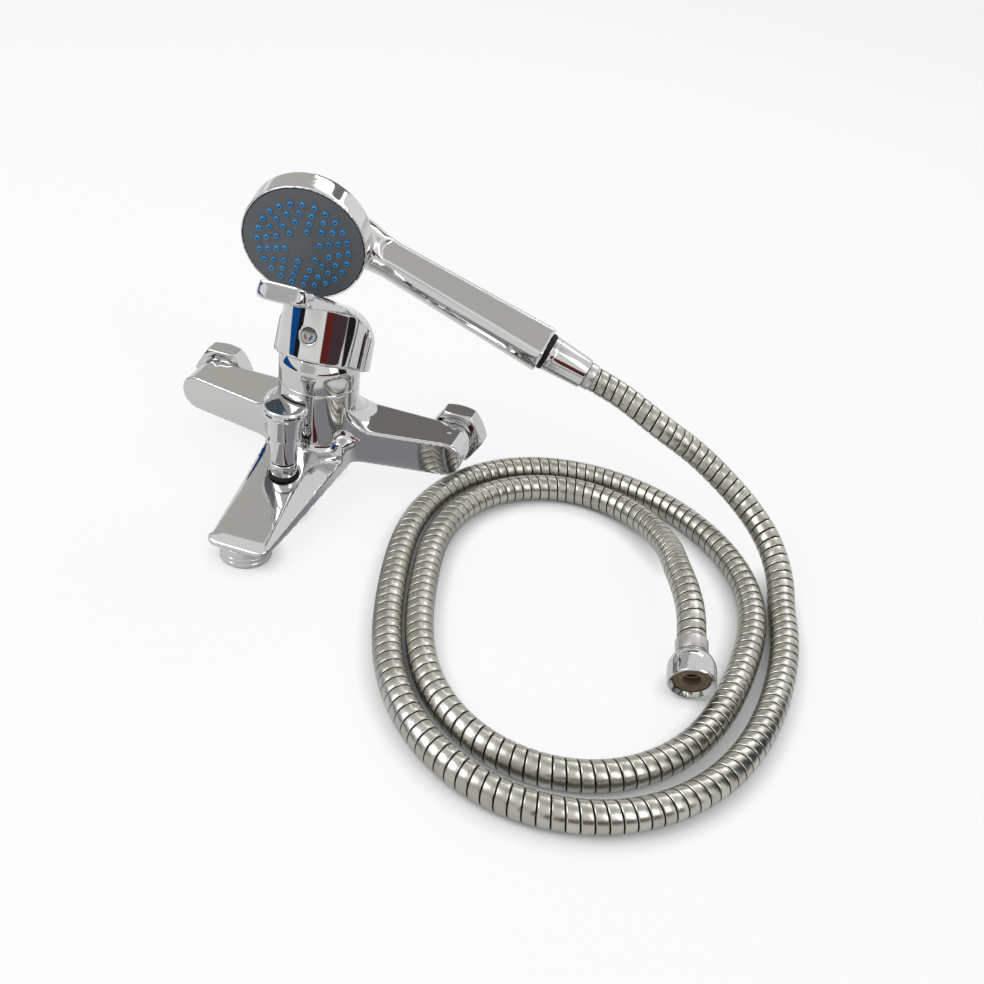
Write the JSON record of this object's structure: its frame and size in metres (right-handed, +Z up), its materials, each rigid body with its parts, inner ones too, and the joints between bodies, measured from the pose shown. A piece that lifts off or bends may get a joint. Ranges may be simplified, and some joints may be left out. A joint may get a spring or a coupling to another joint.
{
  "type": "bath shower mixer",
  "caption": "Chrome single-lever bath mixer with cast spout, pull-up diverter and union inlets, with its hand shower and coiled metal hose lying beside it.",
  "frame": {"origin": "centre of the lower end of the shower outlet, on the tower axis, in the plane the mixer stands on", "axes": "+Z up along the tower, +Y to the wall behind the inlets, +X to the right inlet seen from the front, spout along -Y"},
  "size_m": [0.3805, 0.2702, 0.167],
  "materials": {
    "body_chrome": "polished chrome plate on brass",
    "lever_chrome": "polished chrome plate on zinc",
    "knob_chrome": "polished chrome plate",
    "nut_chrome": "polished chrome plate on brass nuts",
    "brass": "turned brass",
    "steel": "stainless steel",
    "hose_steel": "double interlock stainless steel strip, satin",
    "hose_tube": "smooth inner tube",
    "cartridge_plastic": "moulded acetal",
    "disc_ceramic": "lapped alumina ceramic",
    "seal_black": "black nitrile rubber",
    "end_fibre": "brown rubber sealing washer",
    "indicator": "moulded indicator plug",
    "handset_chrome": "chrome-plated moulded plastic",
    "face_grey": "satin grey moulded plastic",
    "nozzle_blue": "blue silicone"
  },
  "bodies": {
    "mixer": {"mixer_body": "body_chrome", "inlet_tail_left": "body_chrome", "inlet_tail_right": "body_chrome", "inlet_washer_left": "seal_black", "inlet_washer_right": "seal_black", "dress_cap": "body_chrome", "cartridge_nut": "brass", "cartridge_housing": "cartridge_plastic", "cartridge_base": "cartridge_plastic", "cartridge_seal": "seal_black", "fixed_disc": "disc_ceramic", "diverter_bush": "body_chrome", "diverter_seal": "seal_black", "aerator_housing": "body_chrome", "aerator_insert": "cartridge_plastic", "aerator_washer": "seal_black", "outlet_nipple": "brass"},
    "swivel": {"swivel_carrier": "cartridge_plastic", "pivot_pin": "steel"},
    "lever": {"lever_spindle": "brass", "lever_handle": "lever_chrome", "grub_screw": "steel", "indicator_plug": "indicator"},
    "disc": {"moving_disc": "disc_ceramic"},
    "diverter": {"diverter_knob": "knob_chrome", "diverter_stem": "brass", "diverter_valve": "seal_black"},
    "inlet_nut_left": {"union_nut_left": "nut_chrome"},
    "inlet_nut_right": {"union_nut_right": "nut_chrome"},
    "shower_set": {"handset_shell": "handset_chrome", "face_plate": "face_grey", "nozzle_mat": "nozzle_blue", "water_guide": "cartridge_plastic", "handset_ring": "seal_black", "handset_washer": "seal_black", "cone_ferrule": "steel", "hose_lead": "hose_steel", "hose_coil": "hose_steel", "hose_tail": "hose_steel", "tube_lead": "hose_tube", "tube_coil": "hose_tube", "tube_tail": "hose_tube", "end_ferrule": "steel", "end_insert": "brass", "end_washer": "end_fibre"},
    "hose_cone": {"cone_nut": "nut_chrome"},
    "hose_end_nut": {"end_nut": "nut_chrome"}
  },
  "joints": [
    {"name": "lever_swivel", "type": "hinge", "parent": "mixer", "child": "swivel", "pos_m": [0, 0, 0.066], "axis": [0, 0, 1], "range_deg": [-45, 45]},
    {"name": "lever_lift", "type": "hinge", "parent": "swivel", "child": "lever", "pos_m": [0, 0, 0.066], "axis": [1, 0, 0], "range_deg": [0, 25]},
    {"name": "disc_slide", "type": "slide", "parent": "swivel", "child": "disc", "axis": [0, 1, 0], "range_m": [0, 0.00629]},
    {"name": "diverter_pull", "type": "slide", "parent": "mixer", "child": "diverter", "axis": [0, 0, 1], "range_m": [0, 0.008]},
    {"name": "inlet_nut_left_spin", "type": "hinge", "parent": "mixer", "child": "inlet_nut_left", "pos_m": [-0.075, 0.033, 0.0285], "axis": [0, 1, 0], "continuous": true},
    {"name": "inlet_nut_right_spin", "type": "hinge", "parent": "mixer", "child": "inlet_nut_right", "pos_m": [0.075, 0.033, 0.0285], "axis": [0, 1, 0], "continuous": true},
    {"name": "shower_set_draw", "type": "slide", "parent": "mixer", "child": "shower_set", "axis": [0.7071, 0.7071, 0], "range_m": [0, 0.2]},
    {"name": "cone_spin", "type": "hinge", "parent": "shower_set", "child": "hose_cone", "pos_m": [0.13039, 0.05075, 0.08042], "axis": [0.9418, 0.0395, -0.3338], "continuous": true},
    {"name": "end_nut_spin", "type": "hinge", "parent": "shower_set", "child": "hose_end_nut", "pos_m": [0.23751, -0.09682, 0.01426], "axis": [0.1866, -0.9602, -0.2079], "continuous": true}
  ],
  "couplings": [
    {"joint": "disc_slide", "follows": "lever_lift", "m_per_rad": 0.014418}
  ]
}
